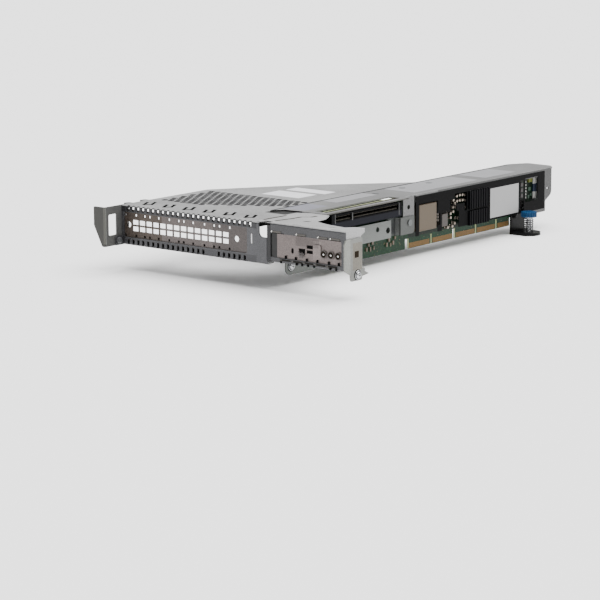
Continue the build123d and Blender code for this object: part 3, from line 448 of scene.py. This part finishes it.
FINISHES = {finish.name: finish for finish in (
    SheetFinish("cage_sheet", grey(0.33), contrast=0.30, metallic=0.6, zones=(
        # Painted shade on the full-height bay's front face, darker still in bands along its top and its
        # foot
        Zone((0.24, 0.24, 0.255), x=(-1, 142.6), y=(-9, 1.2), z=(-1, 29.4)),
        Zone(grey(0.55), x=(-1, 133), y=(-9, 1.2), z=(25.2, 29.4)),
        Zone(grey(0.7), x=(-1, 133), y=(-9, 1.2), z=(-1, 5.6)),
        # Painted shade on the low-profile frame's front band and on its left stile
        Zone((0.19, 0.19, 0.20), x=(142.7, 216), y=(-1, 0.9), z=(2, 30.2)),
        Zone(grey(0.45), x=(142.7, 146.4), y=(-1, 1.2), z=(2, 29)),
        # Painted shade on the cut edges in the top plate's holes and slots, on the spine's front edge
        # and on the cage's inner faces behind its front
        Zone((0.10, 0.10, 0.11), x=(-6, 131.2), y=(1.4, 240), z=(29.03, 29.96)),
        Zone(grey(0.06), x=(108.5, 132.7), y=(38, 54), z=(29.97, 30.95)),
        Zone(grey(0.22), x=(-1, 142.6), y=(1.2, 100), z=(-1, 28.9)),
        # Painted highlight on the low-profile frame's top
        Zone(grey(1.25), x=(133, 216), y=(0, 50), z=(30.9, 31.1)),
        # A darker tone on the spine's top
        Zone(grey(0.64), x=(109, 158), y=(53.5, 366), z=(30.5, 31.5)),
        # Painted bluish reflection of the sky on the top plate near the spine's front end
        Zone((1.2, 1.2, 1.4), x=(106, 132), y=(56, 84), z=(30.5, 31.5)),
        # Painted shade on the side face of the spine's strip
        Zone((0.25, 0.24, 0.22), x=(153.4, 155.2), y=(52, 156), z=(29.5, 30.95)),
        # Darker tones on the far cheek and its tab, darker towards the rear
        Zone(grey(0.40), x=(140, 156), y=(150, 200), z=(-6, 30.4)),
        Zone(grey(0.20), x=(140, 156), y=(200, 370), z=(-6, 30.6)),
    )),
    SheetFinish("grey_paint", (0.085, 0.085, 0.082), metallic=0.2, roughness=0.5, zones=(
        # Painted shade on the handle's front flange
        Zone((0.38, 0.37, 0.34), y=(-19, -17.3)),
        # Painted highlight along the handle's fold
        Zone((2.6, 2.65, 2.6), x=(-1.4, 0.2), y=(-19, -16.9), z=(2, 30)),
    )),
    SheetFinish("rivet_steel", (0.36, 0.37, 0.38), roughness=0.35, zones=(
        Zone((0.32, 0.33, 0.32), x=(146.6, 154), y=(130, 180)),
        # Painted shade on the rivet in the rail's recess
        Zone(grey(0.12), x=(141, 146.6), y=(130, 180)),
    )),
    SheetFinish("blank_sheet", (0.125, 0.108, 0.105), metallic=0.4, contrast=0.3, zones=(
        Zone((0.50, 0.44, 0.36), x=(-1, 40)),
        Zone((0.85, 0.82, 0.80), x=(40, 90)),
        Zone((0.58, 0.57, 0.56), x=(90, 133)),
        Zone((1.25, 1.2, 1.17), x=(143, 216)),
        Zone(grey(0.70), x=(168.5, 190), y=(-1, 1.2), z=(16.5, 23)),
        Zone((1.3, 1.32, 1.32), x=(184.5, 191.5), y=(-1, 1.2), z=(8, 21.5)),
    )),
    SheetFinish("blank_dark", (0.09, 0.08, 0.078), metallic=0.4, contrast=0.3),
    SheetFinish("spring_steel", (0.50, 0.49, 0.47), roughness=0.25, zones=(
        # Painted shade on the sprung fingers' flat strips and on their lower ends
        Zone((0.14, 0.135, 0.13), x=(143, 216), y=(-0.32, 1), z=(0, 27)),
        Zone((0.14, 0.135, 0.13), x=(143, 216), y=(-2, 1), z=(0, 9)),
    )),
    SheetFinish("spring_wire", (0.16, 0.16, 0.165), roughness=0.28),
    SheetFinish("zinc_plate", (0.154, 0.16, 0.155), contrast=0.25, metallic=0.5, zones=(
        # Painted shade on the board tab's upper part inside the low-profile frame
        Zone(grey(0.05), x=(143.1, 147.2), y=(0.5, 53), z=(2.7, 31)),
        Zone((0.55, 0.57, 0.54), x=(143.1, 147.2), y=(-3, 55), z=(-16, 2.7)),
        # Painted shade in the rail's recess
        Zone((0.30, 0.32, 0.32), x=(143.1, 144.4), y=(137, 153), z=(0, 16)),
        Zone((0.82, 0.84, 0.82), x=(147.5, 150.5)),
        Zone(grey(0.50), x=(147.5, 150.5), y=(141, 175)),
        Zone((1.12, 1.10, 1.06), x=(213, 218)),
        # Painted highlight along the end bracket's front edge
        Zone((1.3, 1.3, 1.28), x=(213, 218), y=(-3, 4.5)),
        Zone((0.88, 0.80, 0.71), x=(213, 218), y=(7.0, 17.5), z=(2.5, 22)),
    )),
    SheetFinish("screw_steel", (0.50, 0.51, 0.52), roughness=0.25),
    BoardFinish(
        "board_green", (0.0018, 0.028, 0.009), (0.13, 0.10, 0.055), (0.55, 0.60, 0.36), zones=(
            # Painted shade on the board under the film
            Zone((0.35, 0.3, 0.3), y=(168, 360), z=(-3.0, 30)),
            Zone(grey(0.30), y=(24, 66), z=(-6, 30)),
        )),
    SheetFinish("gold", (0.145, 0.076, 0.017), metallic=0.5, roughness=0.4, contrast=0.3),
    PlasticFinish("socket_black", (0.0022, 0.0022, 0.003), roughness=0.45, specular=0.04, zones=(
        # Painted highlight on the lower lip of the right socket's face
        Zone((4.6, 4.8, 4.8), x=(153, 155), y=(50, 156), z=(17, 22.6)),
    )),
    PlasticFinish("film_black", (0.0017, 0.0017, 0.0019), roughness=0.42, specular=0.035),
    PlasticFinish("shadow_gap", grey(0.003), roughness=0.8, specular=0.02),
    PlasticFinish("shadow_brown", (0.018, 0.013, 0.008), roughness=0.8, specular=0.05),
    PlasticFinish("shadow_grey", (0.035, 0.035, 0.037), roughness=0.7, specular=0.1),
    # Near-black sheets set behind openings as painted shade
    PlasticFinish(
        "backing_shade_black", grey(0.006), roughness=0.9, specular=0.02, fine_scale=2500, depth=0.0001),
    SheetFinish("contact_dark", (0.05, 0.045, 0.035), metallic=0.5, roughness=0.4),
    # Lighter than the socket plastic: a painted highlight on the key rib
    PlasticFinish("rib_highlight_grey", grey(0.035)),
    SheetFinish("pin_bright", grey(0.60), roughness=0.2),
    PlasticFinish("pipe_clear", grey(0.85), roughness=0.3),
    SheetFinish("chip_cap", (0.080, 0.058, 0.035), metallic=0.2, roughness=0.5),
    PlasticFinish("chip_grey", (0.029, 0.022, 0.018)),
    SheetFinish("can_metal", (0.27, 0.235, 0.20), roughness=0.32),
    PlasticFinish("part_tan", (0.095, 0.070, 0.045), contrast=0.5, zones=(
        Zone((0.10, 0.11, 0.012), y=(331, 338), z=(20, 26), blend=Blend.COVER),
        Zone((0.30, 0.30, 0.28), y=(327, 329), z=(7, 26), blend=Blend.COVER),
        Zone((0.02, 0.015, 0.015), y=(320, 324), z=(8, 26), blend=Blend.COVER),
        Zone((0.30, 0.27, 0.24), y=(202, 205), z=(4, 14), blend=Blend.COVER),
        Zone((0.02, 0.05, 0.03), y=(331, 338), z=(7, 18), blend=Blend.COVER),
    )),
    PlasticFinish("switch_blue", (0.42, 0.42, 0.40), zones=(
        Zone((0.004, 0.012, 0.035), z=(12.6, 19.2), blend=Blend.COVER),
    )),
    SheetFinish("black_paint", grey(0.004), metallic=0.0, roughness=0.3, specular=0.08),
    PlasticFinish("knob_blue", (0.0008, 0.034, 0.10), roughness=0.4, specular=0.2),
    PlasticFinish("label_white", (0.42, 0.42, 0.435), roughness=0.5, contrast=0.04, zones=(
        Zone(grey(1.5), x=(40, 100), z=(29, 31)),
        Zone(grey(0.52), x=(108, 152), z=(30.5, 32)),
        Zone((0.68, 0.68, 0.66), x=(147, 152), z=(-6, 30)),
    )),
)}


class Solid:
    """A mesh under construction, in millimetres from the left foot of the rear face."""

    def __init__(self) -> None:
        """Starts with nothing in it."""
        self.mesh = bmesh.new()

    def block(self, low: Place, high: Place, bevel: float = 0.0, segments: int = 2) -> None:
        """Adds a block, with rounded edges where bevel is over 0.

        Args:
            low: the corner with the lowest coordinates.
            high: the corner with the highest ones.
            bevel: how wide the rounding is.
            segments: how many steps the rounding has.
        """
        made = bmesh.ops.create_cube(self.mesh, size=1)["verts"]
        size, middle = Vector(high) - Vector(low), (Vector(high) + Vector(low)) / 2
        bmesh.ops.scale(self.mesh, vec=size, verts=made)
        bmesh.ops.translate(self.mesh, vec=middle, verts=made)
        if bevel:
            bmesh.ops.bevel(
                self.mesh, geom=list({edge for vert in made for edge in vert.link_edges}), offset=bevel,
                segments=segments, profile=0.5, affect="EDGES", material=-1,
            )

    def wire(self, points: Iterable[Place]) -> tuple[list, list]:
        """Adds a chain of edges through some points."""
        verts = [self.mesh.verts.new(point) for point in points]
        return verts, [self.mesh.edges.new(pair) for pair in zip(verts, verts[1:])]

    def lathe(self, profile: Iterable[tuple[float, float]], foot: Place, axis: str,
              steps: int) -> None:
        """Adds a turned shape.

        Args:
            profile: distance from the axis and height over the foot, for each point.
            foot: where the axis starts.
            axis: X, Y or Z, the way that the height runs; -X and so on turn it round.
            steps: how many sides it has.
        """
        sign = -1 if axis[0] == "-" else 1
        along = Vector([sign * (letter == axis[-1]) for letter in "XYZ"])
        side = Vector((along.y, along.z, along.x))
        verts, edges = self.wire(
            Vector(foot) + side * radius + along * height for radius, height in profile
        )
        bmesh.ops.spin(
            self.mesh, geom=verts + edges, cent=foot, axis=along, angle=math.tau, steps=steps,
            use_merge=True,
        )

    def strip(self, path: Iterable[Place], across: Place, thickness: float) -> None:
        """Adds a thin strip that follows a path.

        Args:
            path: points along one long side.
            across: how far and which way the other side lies.
            thickness: how thick the strip is.
        """
        _, edges = self.wire(path)
        made = bmesh.ops.extrude_edge_only(self.mesh, edges=edges)["geom"]
        bmesh.ops.translate(
            self.mesh, vec=across, verts=[part for part in made if isinstance(part, bmesh.types.BMVert)],
        )
        faces = [part for part in made if isinstance(part, bmesh.types.BMFace)]
        bmesh.ops.recalc_face_normals(self.mesh, faces=faces)
        bmesh.ops.solidify(self.mesh, geom=faces, thickness=thickness)

    def piece(self, name: str, finish: str, slot: str, body: str = "root",
              stands_for: tuple[str, ...] = ()) -> bpy.types.Object:
        """Makes the finished object and says what it belongs to.

        Args:
            name: the piece's name.
            finish: the finish that it wears.
            slot: the record's material slot that it goes with; not used.
            body: the body that it rides on.
            stands_for: the CAD nodes that it replaces.

        Returns:
            The object.
        """
        bmesh.ops.remove_doubles(self.mesh, verts=self.mesh.verts, dist=MERGE_WITHIN)
        bmesh.ops.recalc_face_normals(self.mesh, faces=self.mesh.faces)
        bmesh.ops.scale(self.mesh, vec=(MM, MM, MM), verts=self.mesh.verts)
        bmesh.ops.translate(self.mesh, vec=ORIGIN, verts=self.mesh.verts)
        data = bpy.data.meshes.new(name)
        self.mesh.to_mesh(data)
        self.mesh.free()
        data.shade_smooth()
        data.set_sharp_from_angle(angle=math.radians(SHARP_DEGREES))
        data.materials.append(PAINT.get(finish))
        made = bpy.data.objects.new(name, data)
        bpy.context.scene.collection.objects.link(made)
        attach(made, body)
        if stands_for:
            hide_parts(*stands_for)
        log.info("%s: %d faces", name, len(data.polygons))
        return made


class Paintbox:
    """Each finish, made once, when it is first asked for."""

    def __init__(self) -> None:
        """Starts with no finish made."""
        self.made: dict[str, bpy.types.Material] = {}

    def get(self, name: str) -> bpy.types.Material:
        """The material of a finish.

        Args:
            name: the finish.

        Returns:
            Its material.
        """
        if name not in self.made:
            self.made[name] = FINISHES[name].build()
        return self.made[name]


PAINT = Paintbox()


@dataclass
class SocketContacts:
    """Contact leaves in the mouths of both card sockets, and the key rib and end ribs of the right one
    in a lighter grey as painted highlights.
    """

    right_mouth: float = 154.4
    left_mouth: float = 112.0
    slot_height: float = 25.7
    runs: tuple[tuple[float, float], ...] = ((64.6, 83.2), (86.0, 140.4))
    pitch: float = 1.0
    leaf_width: float = 0.5
    leaf_thickness: float = 0.12
    leaf_path: tuple[tuple[float, float], ...] = ((1.55, 2.0), (0.7, 1.6), (1.1, 1.0), (2.9, 0.7))
    rib: tuple[float, float] = (84.0, 85.1)
    rib_low: float = 3.1
    rib_high: float = 2.6
    rib_depth: float = 1.5
    end_depth: float = 0.3
    proud: float = 0.05
    rounding: float = 0.04
    ends: tuple[tuple[float, float, float, float], ...] = (
        (63.7, 64.5, 22.4, 29.3), (141.4, 142.2, 19.4, 28.6),
    )

    def build(self) -> None:
        """Makes the leaves of each socket, and the rib that shows in the right one, painted lighter as a
        highlight.
        """
        for name, mouth, inward in (("right", self.right_mouth, -1), ("left", self.left_mouth, 1)):
            leaves = Solid()
            for start, end in self.runs:
                for count in range(int((end - start) / self.pitch) + 1):
                    y = start + count * self.pitch
                    for side in (-1, 1):
                        leaves.strip([(mouth + inward * depth, y, self.slot_height + side * height)
                                      for depth, height in self.leaf_path],
                                     (0, self.leaf_width, 0), self.leaf_thickness)
            leaves.piece(f"{name}_socket_contacts", "contact_dark", "spring_steel")
        # The key rib and end ribs stand just proud of the right socket's face as painted highlights
        rib = Solid()
        face = self.right_mouth + self.proud
        rib.block((self.right_mouth - self.rib_depth, self.rib[0], self.slot_height - self.rib_low),
                  (face, self.rib[1], self.slot_height + self.rib_high), self.rounding)
        for start, end, foot, top in self.ends:
            rib.block((self.right_mouth - self.end_depth, start, foot), (face, end, top),
                      self.rounding)
        rib.piece("socket_key_rib_highlight", "rib_highlight_grey", "socket_black")


@dataclass
class RoundCans:
    """Round capacitors with a crimped foot, a rolled rim and a dark base."""

    profile: tuple[tuple[float, float], ...] = (
        (0, 0.4), (1.178, 0.4), (1.24, 0.55), (1.0664, 0.8), (1.24, 1.05), (1.24, 3.05), (1.116, 3.32),
        (0.8928, 3.4), (0.7688, 3.28), (0, 3.28),
    )
    steps: int = 16
    base_half: float = 1.116
    base_rise: float = 0.42
    base_round: float = 0.12
    spots: tuple[tuple[float, float], ...] = (
        (223.6, 19.8), (225.5, 17.1), (223.2, 14.2), (226.8, 13.8), (223.3, 10.7), (228.4, 18.5),
        (231.9, 18.6), (235.8, 18.4), (239.5, 17.8), (239.5, 12.4), (230.0, 4.7), (220.0, 6.3),
        (219.9, 9.6), (225.4, 1.3), (216.2, -1.0), (222.4, -0.8), (231.9, 22.8), (228.2, 22.4),
        (235.6, 22.7), (239.3, 22.2),
    )

    def build(self) -> None:
        """Makes the cans and the bases that they stand on."""
        cans, bases, half = Solid(), Solid(), self.base_half
        for y, z in self.spots:
            cans.lathe(self.profile, (BOARD_FACE, y, z), "X", self.steps)
            bases.block((BOARD_FACE, y - half, z - half),
                        (BOARD_FACE + self.base_rise, y + half, z + half), self.base_round, 1)
        cans.piece("can_bodies", "can_metal", "can_metal", stands_for=("capacitors",))
        bases.piece("can_bases", "socket_black", "socket_black")


@dataclass
class CoilSpring:
    """The spring under the thumb screw's washer, which shortens as the knob is pressed; here it is wound
    at its free length and does not move.
    """

    centre: tuple[float, float] = (155.2, 316.5)
    radius: float = 3.5
    wire: float = 0.4
    turns: float = 7.0
    sides: int = 8
    steps: int = 26
    travel: float = 4.0

    def build(self) -> None:
        """Winds the wire between the bracket's tongue and the washer."""
        low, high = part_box("screw_spring")
        free = (high.z - low.z) / MM
        foot = (low.z - ORIGIN.z) / MM + self.wire
        rise = free - 2 * self.wire
        coil = Solid()
        ring = bmesh.ops.create_circle(
            coil.mesh, segments=self.sides, radius=self.wire,
            matrix=Matrix.Translation((self.centre[0] + self.radius, self.centre[1], foot))
            @ Matrix.Rotation(math.pi / 2, 4, "X"),
        )["verts"]
        edges = list({edge for vert in ring for edge in vert.link_edges})
        count = int(self.turns * self.steps)
        end = bmesh.ops.spin(
            coil.mesh, geom=ring + edges, cent=(*self.centre, foot), axis=(0, 0, 1),
            dvec=(0, 0, rise / count), angle=math.tau * self.turns, steps=count,
        )["geom_last"]
        last = [part for part in end if isinstance(part, bmesh.types.BMEdge)]
        for rim in (edges, last):
            bmesh.ops.edgeloop_fill(coil.mesh, edges=rim)
        spring = coil.piece(
            "coil_spring", "spring_wire", "spring_steel", stands_for=("screw_spring",),
        )
        tuple(spot(*self.centre, foot - self.wire))
        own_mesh(spring)


@dataclass
class WindowTrim:
    """Painted shadows in the gaps round the sprung fingers, in the notches and in the foot slots, and a
    near-black sheet behind the low-profile blank as painted shade.
    """

    finger_gap_shadows: tuple[tuple[float, float], ...] = (
        (147.6, 158.6), (170.2, 178.8), (189.9, 199.0), (201.0, 210.0),
    )
    gap_low: float = 23.52
    gap_high: float = 24.0
    gap_depth: float = 0.3
    proud: float = 0.05
    rounding: float = 0.02
    notches: tuple[float, ...] = (159.8, 169.0, 179.1, 188.6, 199.0, 207.9)
    notch: tuple[float, float, float] = (1.15, 6.0, 8.2)
    notch_proud: float = 0.04
    notch_depth: float = 1.0
    foot_slots: tuple[float, ...] = (155.8, 170.1, 175.2, 180.6, 186.1, 200.6, 206.0)
    foot_slot: tuple[float, float, float] = (1.8, 2.4, 4.2)
    shade_sheet: tuple[Place, Place] = ((151.8, 1.82, 5.2), (212.0, 2.5, 25.2))
    shade_sheet_round: float = 0.2

    def build(self) -> None:
        """Makes the painted gap shadows and the painted shade sheet behind the blank."""
        # Dark blocks in the finger gaps, notches and foot slots are painted shadows
        gaps = Solid()
        for start, end in self.finger_gap_shadows:
            gaps.block((start, -self.proud, self.gap_low), (end, self.gap_depth, self.gap_high),
                       self.rounding, 1)
        for middles, (width, low, high), front, rear in (
            (self.notches, self.notch, -self.notch_proud, self.notch_depth),
            (self.foot_slots, self.foot_slot, -self.proud, self.gap_depth),
        ):
            for x in middles:
                gaps.block((x - width / 2, front, low), (x + width / 2, rear, high),
                           self.rounding, 1)
        gaps.piece("finger_gap_shadows", "shadow_gap", "film_black")
        # A near-black sheet behind the low-profile blank: painted shade seen through its openings
        shade_sheet = Solid()
        shade_sheet.block(*self.shade_sheet, self.shade_sheet_round)
        shade_sheet.piece("blank_backing_shade", "backing_shade_black", "film_black")


@dataclass
class BlankRings:
    """Ribbed rings and bright pins on the low-profile blank."""

    spots: tuple[float, ...] = (194.4, 200.9, 207.4)
    height: float = 12.9
    face: float = 0.3
    well: tuple[tuple[float, float], ...] = (
        (0.92, 0.0), (0.95, -0.4), (1.66, -0.4), (1.66, 0.03), (2.35, 0.03),
    )
    rim: tuple[tuple[float, float], ...] = ((2.35, 0.0), (2.4, 0.22), (2.8, 0.22), (2.9, 0.0))
    pin: tuple[tuple[float, float], ...] = ((0.8, -0.3), (0.8, 0.15), (0.5, 0.34), (0, 0.4))
    well_steps: int = 20
    rim_steps: int = 24
    pin_steps: int = 16

    def build(self) -> None:
        """Makes the rings' wells in painted shadow, their light rims and the pins."""
        wells, rims, pins = Solid(), Solid(), Solid()
        for x in self.spots:
            centre = (x, self.face, self.height)
            wells.lathe(self.well, centre, "-Y", self.well_steps)
            rims.lathe(self.rim, centre, "-Y", self.rim_steps)
            pins.lathe(self.pin, centre, "-Y", self.pin_steps)
        wells.piece("ring_wells", "shadow_brown", "film_black")
        rims.piece("ring_rims", "blank_dark", "blank_sheet")
        pins.piece("ring_pins", "pin_bright", "spring_steel")


@dataclass
class TopSeams:
    """Painted shadow lines along edges and seams on the low-profile frame's top, and painted shadows of
    its front fold and left corner.
    """

    seams: tuple[tuple[tuple[float, float], ...], ...] = (
        ((133.4, 6.4), (133.6, 17.3), (134.3, 30.7)),
        ((143.4, 7.0), (144.5, 12.8), (146.5, 21.7), (147.3, 32.0), (153.4, 36.0), (154.2, 41.9)),
        ((161.9, 17.6), (165.3, 20.2)),
        ((192.2, 9.4), (195.0, 11.5)),
    )
    width: float = 2.2
    thickness: float = 0.04
    corner: tuple[Place, Place] = ((136.0, -0.05, 28.9), (146.0, 0.2, 30.3))
    corner_top: tuple[tuple[float, float], ...] = ((139.0, 0.8), (145.6, 0.8))
    corner_depth: float = 2.6
    fold: tuple[Place, Place] = ((146.4, -0.04, 30.0), (212.5, 0.2, 30.3))

    def build(self) -> None:
        """Makes the painted shadow lines and the painted shadows."""
        top = FRAME_TOP + SHADOW_PROUD
        lines, corner, fold = Solid(), Solid(), Solid()
        # Each line is a painted shadow laid just over the sheet
        for seam in self.seams:
            lines.strip([(x, y, top) for x, y in seam], (self.width, 0, 0), self.thickness)
        lines.piece("top_seam_shadows", "shadow_brown", "film_black")
        corner.block(*self.corner)
        corner.strip([(x, y, top) for x, y in self.corner_top], (0, self.corner_depth, 0),
                     self.thickness)
        corner.piece("corner_shadow", "shadow_gap", "film_black")
        fold.block(*self.fold)
        fold.piece("fold_shadow", "shadow_grey", "film_black")


@dataclass
class TongueShadows:
    """Painted shadows over the open slots on both sides of each lanced tongue of the cage's top plate.
    """

    count: int = 6
    pitch: float = 20.0
    left: tuple[tuple[float, float], ...] = ((12.8, 9.2), (6.2, 20.9))
    right: tuple[tuple[float, float], ...] = ((17.5, 12.7), (10.9, 24.4))
    width: float = 2.7
    root: float = 2.6

    def build(self) -> None:
        """Makes the shadows of all six pairs."""
        slots, top = Solid(), PLATE_TOP + SHADOW_PROUD
        for number in range(self.count):
            shift = number * self.pitch
            for path, across in (
                (self.left, (self.width, 0, 0)), (self.right, (self.width, 0, 0)),
                ((self.left[0], self.right[0]), (0, self.root, 0)),
            ):
                slots.strip([(x + shift, y, top) for x, y in path], across, SHADOW_THICK)
        slots.piece("tongue_shadows", "shadow_gap", "film_black")


@dataclass
class SpineShadows:
    """Painted shadows along the spine's rolled left edge and in the gap between the board and the
    spine's strip.
    """

    edge: tuple[tuple[float, float], ...] = ((110.1, 44.0), (110.1, 350.0))
    edge_width: float = 2.3
    gap: tuple[tuple[float, float], ...] = ((147.9, 58.5), (147.9, 148.0))
    gap_width: float = 2.5

    def build(self) -> None:
        """Makes both lines."""
        for name, finish, path, width in (
            ("spine_edge_shadow", "shadow_grey", self.edge, self.edge_width),
            ("board_gap_shadow", "shadow_brown", self.gap, self.gap_width),
        ):
            line = Solid()
            points = [(x, y, FRAME_TOP + SHADOW_PROUD) for x, y in path]
            line.strip(points, (width, 0, 0), SHADOW_THICK)
            line.piece(name, finish, "film_black")


@dataclass
class Backing:
    """Painted shade behind the foot slots and in the end bracket's window, and mesh of the blank's vent.
    """

    foot: tuple[Place, Place] = ((2.0, 2.2, 1.1), (125.0, 2.6, 9.0))
    window: tuple[Place, Place] = ((215.28, 9.2, 11.4), (215.34, 13.9, 16.0))
    mesh_x: tuple[float, ...] = (172.9, 174.9)
    mesh_z: tuple[float, ...] = (9.4, 11.2)
    mesh_box: tuple[float, float, float, float] = (171.0, 177.0, 7.9, 12.6)
    bar: float = 0.6
    bar_round: float = 0.08
    upright_depth: tuple[float, float] = (0.25, 0.5)
    level_depth: tuple[float, float] = (0.28, 0.48)

    def build(self) -> None:
        """Makes the painted shade behind the foot slots, the painted shade in the window and the mesh
        bars.
        """
        shade_sheet, window, mesh = Solid(), Solid(), Solid()
        # A near-black sheet behind the cage's foot slots: painted shade seen through them
        shade_sheet.block(*self.foot)
        shade_sheet.piece("foot_slot_shade", "backing_shade_black", "film_black")
        window.block(*self.window)
        window.piece("end_window_shade", "shadow_brown", "film_black")
        left, right, foot, top = self.mesh_box
        half = self.bar / 2
        front, rear = self.upright_depth
        for x in self.mesh_x:
            mesh.block((x - half, front, foot), (x + half, rear, top), self.bar_round)
        front, rear = self.level_depth
        for z in self.mesh_z:
            mesh.block((left, front, z - half), (right, rear, z + half), self.bar_round)
        mesh.piece("vent_mesh", "blank_dark", "blank_sheet")


@dataclass
class ScrewHeads:
    """Screws with a washer face, a domed head and a cross recess drawn in painted shadow."""

    steel: tuple[Place, ...] = ((215.3, 12.7, -1.2), (144.2, 25.4, -4.6), (144.2, 42.0, 20.0))
    black: tuple[Place, ...] = ((144.7, 311.0, -2.2), (144.7, 320.0, 3.4))
    profile: tuple[tuple[float, float], ...] = (
        (0, -1.4), (1.4, -1.4), (1.4, 0), (3.3, 0), (3.4, 0.1), (3.4, 0.42), (3.25, 0.55), (2.6, 0.55),
        (2.5, 0.62), (2.45, 1.2), (2.2, 1.62), (1.6, 1.88), (0.9, 1.98), (0, 1.99),
    )
    groove: tuple[tuple[float, float], ...] = ((2.4, 0.5), (3.05, 0.5), (3.05, 0.58), (2.4, 0.58))
    seat: tuple[tuple[float, float], ...] = ((3.42, -0.1), (4.0, -0.1), (4.0, 0.05), (3.42, 0.05))
    recess: tuple[float, float] = (1.5, 0.32)
    recess_heights: tuple[float, float] = (1.7, 1.995)
    steps: int = 24

    def build(self) -> None:
        """Makes the screws, and the painted shadows in the groove and round the seat of each head and in
        the cross recesses.
        """
        marks = Solid()
        for name, spots, finish, stands_for in (
            ("steel_screws", self.steel, "screw_steel", ("end_bracket_screw", "board_tab_screws")),
            ("black_screws", self.black, "black_paint", ("bracket_screws",)),
        ):
            heads = Solid()
            for foot in spots:
                heads.lathe(self.profile, foot, "X", self.steps)
                # Painted shadow in the groove under the dome and round the seat of the head
                for ring in (self.groove, self.seat):
                    marks.lathe([*ring, ring[0]], foot, "X", self.steps)
                x, y, z = foot
                low, high = self.recess_heights
                for half_y, half_z in (self.recess, self.recess[::-1]):
                    marks.block((x + low, y - half_y, z - half_z),
                                (x + high, y + half_y, z + half_z))
            heads.piece(name, finish, finish, stands_for=stands_for)
        marks.piece("screw_shadow_marks", "shadow_gap", "film_black")


@dataclass
class LightPipe:
    """Clear strip in the upright slot beside the full-height blank."""

    corners: tuple[Place, Place] = ((127.85, -0.02, 13.9), (128.75, 0.95, 21.0))
    rounding: float = 0.15

    def build(self) -> None:
        """Makes the strip."""
        strip = Solid()
        strip.block(*self.corners, self.rounding)
        strip.piece("light_pipe", "pipe_clear", "label_white")


@dataclass
class Studio:
    """Camera at the photograph's angle, soft light and a pale floor."""

    azimuth: float = 39.35
    elevation: float = 11.12
    roll: float = -0.31
    lens: float = 143.73
    place: Vector = Vector((1.1299, -1.4673, 0.3253))
    floor_half: float = 40.0
    sky_strength: float = 0.5
    sun_strength: float = 8.0
    sun_spread: float = 70.0
    sun_towards: Place = (0.35, 0.5, 1.9)
    view_reach: float = 120.0
    floor_tone: Colour = grey(0.92)
    floor_roughness: float = 0.9

    def camera(self) -> None:
        """Places the camera, aimed by azimuth, elevation and roll."""
        data = bpy.data.cameras.new("photo_camera")
        data.lens = self.lens
        data.clip_end = self.view_reach
        camera = bpy.data.objects.new("photo_camera", data)
        turn = Matrix.Rotation(math.radians(self.azimuth), 4, "Z")
        tilt = Matrix.Rotation(math.radians(90 - self.elevation), 4, "X")
        spin = Matrix.Rotation(math.radians(self.roll), 4, "Z")
        camera.matrix_world = Matrix.Translation(self.place) @ turn @ tilt @ spin
        bpy.context.scene.collection.objects.link(camera)
        bpy.context.scene.camera = camera

    def light(self) -> None:
        """Adds a pale sky and one wide, soft light from above."""
        world = bpy.data.worlds.new("studio")
        world.use_nodes = True
        sky = world.node_tree.nodes["Background"]
        sky.inputs[0].default_value = (1, 1, 1, 1)
        sky.inputs[1].default_value = self.sky_strength
        bpy.context.scene.world = world
        data = bpy.data.lights.new("top_light", "SUN")
        data.energy = self.sun_strength
        data.angle = math.radians(self.sun_spread)
        lamp = bpy.data.objects.new("top_light", data)
        lamp.rotation_euler = (-Vector(self.sun_towards)).to_track_quat("-Z", "Y").to_euler()
        bpy.context.scene.collection.objects.link(lamp)

    def floor(self) -> None:
        """Lays a pale floor that is not part of the object."""
        mesh = bmesh.new()
        bmesh.ops.create_grid(mesh, x_segments=1, y_segments=1, size=self.floor_half)
        data = bpy.data.meshes.new("floor")
        mesh.to_mesh(data)
        mesh.free()
        floor = bpy.data.objects.new("floor", data)
        bpy.context.scene.collection.objects.link(floor)
        graph = Graph("pale_floor")
        graph.set(Base_Color=self.floor_tone, Roughness=self.floor_roughness)
        data.materials.append(graph.material)

    def build(self) -> None:
        """Sets up camera, floor and lights."""
        self.camera()
        self.floor()
        self.light()
        log.info("studio ready")


def dress_nodes() -> None:
    """Gives every CAD node the finish of its material slot."""
    for part in frame["record"]["subparts"]:
        node = frame["nodes"][part["node"]]
        node.data.materials.clear()
        node.data.materials.append(PAINT.get(part["material_slot"]))
        log.info("dressed %s", part["node"])


def main() -> None:
    """Builds the scene in order."""
    logging.basicConfig(level=logging.INFO, format="%(name)s: %(message)s")
    Studio().build()
    dress_nodes()
    for group in (SocketContacts(), RoundCans(), CoilSpring(), WindowTrim(), BlankRings(), TopSeams(),
                  TongueShadows(), SpineShadows(), Backing(), ScrewHeads(), LightPipe()):
        group.build()
        log.info("built %s", type(group).__name__)


if __name__ == "__main__":
    main()
